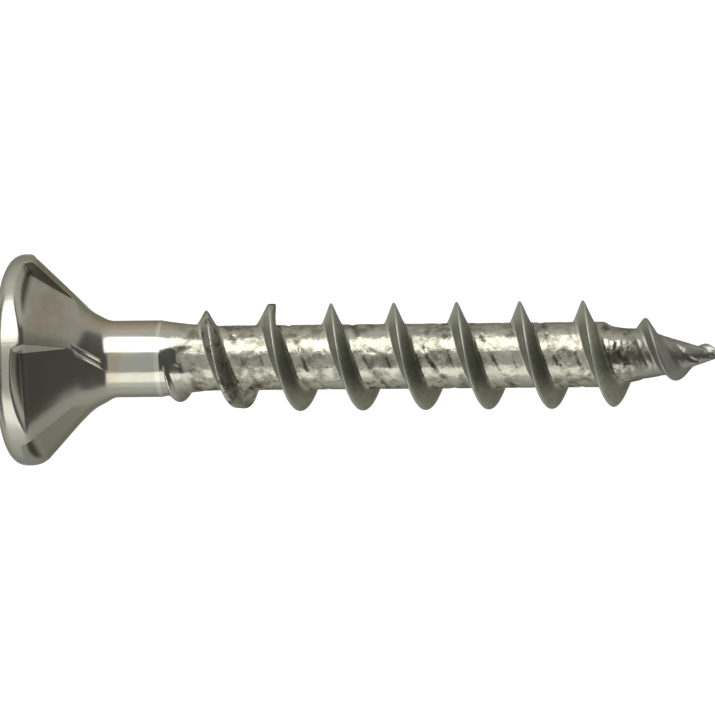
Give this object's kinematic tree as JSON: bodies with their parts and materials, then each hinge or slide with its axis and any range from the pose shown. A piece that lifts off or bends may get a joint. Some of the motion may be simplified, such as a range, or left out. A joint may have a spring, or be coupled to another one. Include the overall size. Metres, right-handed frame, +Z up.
{
  "type": "chipboard screw",
  "caption": "Countersunk steel chipboard screw with cutting pockets under its head, a short plain shank, a coarse thread and a gimlet point, lying on its side.",
  "frame": {"origin": "under the middle of the screw's box, on the surface that it lies on", "axes": "+X from the head to the point, +Z up; the axis leans down to the point by the angle at which the rim and a thread crest both touch the surface"},
  "size_m": [0.0302, 0.0088, 0.0089],
  "materials": {
    "steel": "bright plated, lightly worn"
  },
  "bodies": {
    "root": {"screw": "steel"}
  },
  "joints": []
}
